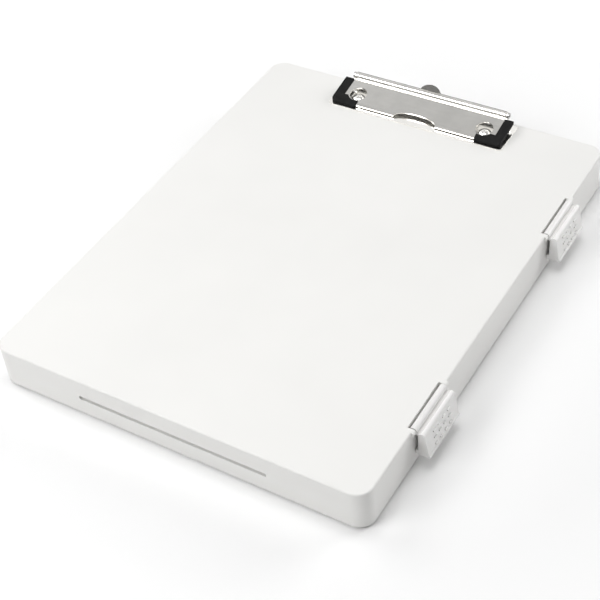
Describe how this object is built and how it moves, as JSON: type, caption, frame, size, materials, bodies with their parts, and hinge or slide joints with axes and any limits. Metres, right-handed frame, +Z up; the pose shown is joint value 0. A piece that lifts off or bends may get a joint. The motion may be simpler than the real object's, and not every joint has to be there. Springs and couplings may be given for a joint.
{
  "type": "storage clipboard box",
  "caption": "Flat box for paper with a side-hinged cover held by latches, a slot in the front wall and a sprung sheet-metal clip on top.",
  "frame": {"origin": "centre of the tray's flat underside, which is the face that the box rests on", "axes": "+X towards the latch side, +Y towards the clip end, +Z up"},
  "size_m": [0.2551, 0.31, 0.0418],
  "materials": {
    "cover_plastic": "smooth moulded white plastic with a low sheen",
    "tray_plastic": "moulded white plastic, slightly duller than the cover",
    "plated_steel": "nickel-plated sheet steel, satin bright",
    "pin_steel": "drawn bright steel",
    "black_rubber": "black moulded rubber, matte"
  },
  "bodies": {
    "base": {"base_tray": "tray_plastic"},
    "cover": {"top_cover": "cover_plastic", "cover_hinge_pin_front": "pin_steel", "cover_hinge_pin_middle": "pin_steel", "cover_hinge_pin_rear": "pin_steel", "latch_pin_near": "pin_steel", "latch_pin_far": "pin_steel", "clip_base_plate": "plated_steel", "clip_hinge_rod": "pin_steel", "rod_retainers": "pin_steel", "clip_spring_left": "pin_steel", "clip_spring_right": "pin_steel", "clip_rivets": "plated_steel", "rivet_washers": "pin_steel"},
    "near_latch": {"latch_near": "cover_plastic"},
    "far_latch": {"latch_far": "cover_plastic"},
    "jaw": {"clip_jaw": "plated_steel", "corner_cap_left": "black_rubber", "corner_cap_right": "black_rubber"}
  },
  "joints": [
    {"name": "cover_hinge", "type": "hinge", "parent": "base", "child": "cover", "pos_m": [-0.1232, 0, 0.0032], "axis": [0, -1, 0], "range_deg": [0, 100]},
    {"name": "near_latch_hinge", "type": "hinge", "parent": "cover", "child": "near_latch", "pos_m": [0.1196, -0.0856, 0.0258], "axis": [0, -1, 0], "range_deg": [0, 140]},
    {"name": "far_latch_hinge", "type": "hinge", "parent": "cover", "child": "far_latch", "pos_m": [0.1196, 0.0824, 0.0258], "axis": [0, -1, 0], "range_deg": [0, 140]},
    {"name": "jaw_hinge", "type": "hinge", "parent": "cover", "child": "jaw", "pos_m": [0, 0.1515, 0.0353], "axis": [-1, 0, 0], "range_deg": [0, 30], "stiffness_Nm_per_rad": 0.3, "springref_deg": -34.38}
  ]
}
